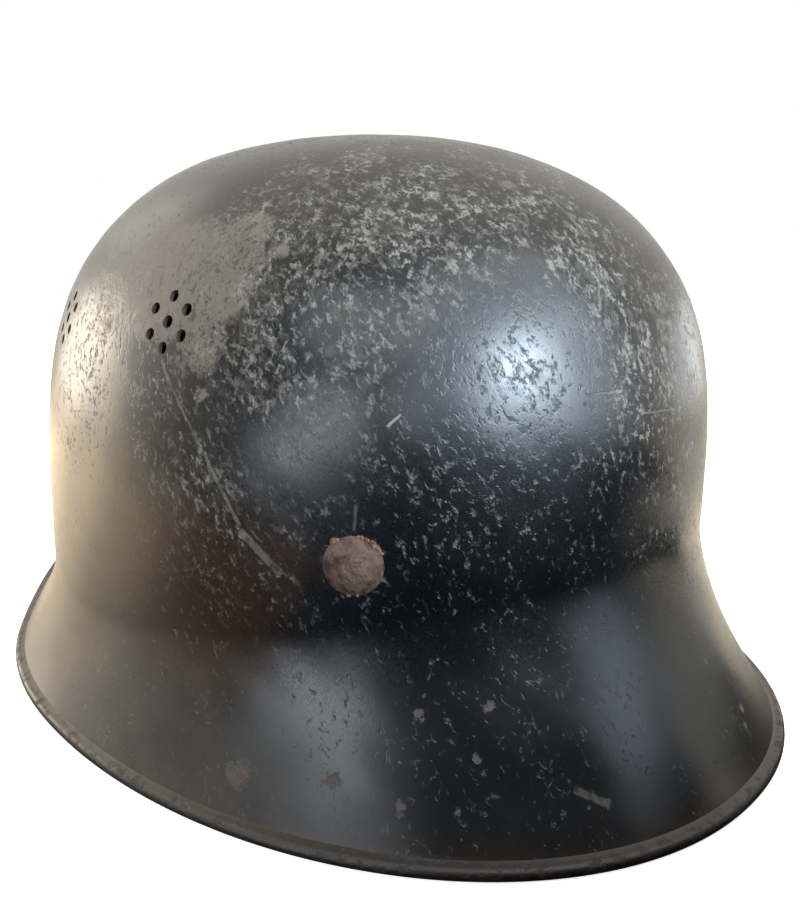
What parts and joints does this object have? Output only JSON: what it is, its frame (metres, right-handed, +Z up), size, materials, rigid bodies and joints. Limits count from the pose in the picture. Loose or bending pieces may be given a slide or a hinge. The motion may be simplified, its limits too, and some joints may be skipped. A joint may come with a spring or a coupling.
{
  "type": "fire police helmet",
  "caption": "Domed steel service helmet with visor, flared neck guard, air holes, pinned leather liner on sprung bands and an open chin strap with buckle.",
  "frame": {"origin": "bottom centre of the bounding box, on the plane the rim stands on", "axes": "-Y to the front (visor), +Y to the back (neck guard), +X to the wearer's left, +Z up"},
  "size_m": [0.2232, 0.2782, 0.165],
  "materials": {
    "shell_paint": "worn gloss",
    "rusty_iron": "rusty, matt",
    "zinc_band": "dull satin",
    "spring_steel": "dull satin",
    "liner_leather": "worn satin",
    "lace_cord": "matt",
    "strap_leather": "worn satin"
  },
  "bodies": {
    "helmet": {"shell": "shell_paint", "pin_front_left": "rusty_iron", "pin_front_right": "rusty_iron", "pin_rear_left": "rusty_iron", "pin_rear_right": "rusty_iron", "pin_washers": "zinc_band", "outer_band": "zinc_band", "inner_band": "zinc_band", "bracket_left": "zinc_band", "bracket_right": "zinc_band", "spring_front": "spring_steel", "spring_front_left": "spring_steel", "spring_front_right": "spring_steel", "spring_rear_left": "spring_steel", "spring_rear_right": "spring_steel", "spring_rear": "spring_steel", "outer_spring_rivets": "spring_steel", "inner_spring_rivets": "spring_steel", "bracket_rivets": "spring_steel", "pivot_left": "spring_steel", "pivot_right": "spring_steel", "leather_liner": "liner_leather", "crown_lace": "lace_cord"},
    "left_strap": {"bale_left": "spring_steel", "strap_buckle_half": "strap_leather", "stud_left": "spring_steel"},
    "right_strap": {"bale_right": "spring_steel", "strap_tip_half": "strap_leather", "stud_right": "spring_steel"},
    "buckle": {"buckle_frame": "spring_steel"},
    "roller": {"buckle_roller": "spring_steel"},
    "tongue": {"buckle_tongue": "spring_steel"},
    "keeper": {"strap_keeper": "strap_leather"}
  },
  "joints": [
    {"name": "left_strap_swing", "type": "hinge", "parent": "helmet", "child": "left_strap", "pos_m": [0, -0.0075, 0.041], "axis": [-1, 0, 0], "range_deg": [0, 140]},
    {"name": "right_strap_swing", "type": "hinge", "parent": "helmet", "child": "right_strap", "pos_m": [0, -0.0075, 0.041], "axis": [-1, 0, 0], "range_deg": [0, 140]},
    {"name": "buckle_swing", "type": "hinge", "parent": "left_strap", "child": "buckle", "pos_m": [0.055, 0.08339, 0.0175], "axis": [0, 0.2504, 0.9681], "range_deg": [-30, 45]},
    {"name": "roller_spin", "type": "hinge", "parent": "buckle", "child": "roller", "pos_m": [0.04581, 0.09362, 0.01485], "axis": [0, 0.2504, 0.9681], "continuous": true},
    {"name": "tongue_lift", "type": "hinge", "parent": "buckle", "child": "tongue", "pos_m": [0.055, 0.08339, 0.0175], "axis": [0, -0.2504, -0.9681], "range_deg": [0, 65]},
    {"name": "keeper_slide", "type": "slide", "parent": "left_strap", "child": "keeper", "axis": [-0.6561, 0.7307, -0.189], "range_m": [-0.0015, 0.0045]}
  ]
}
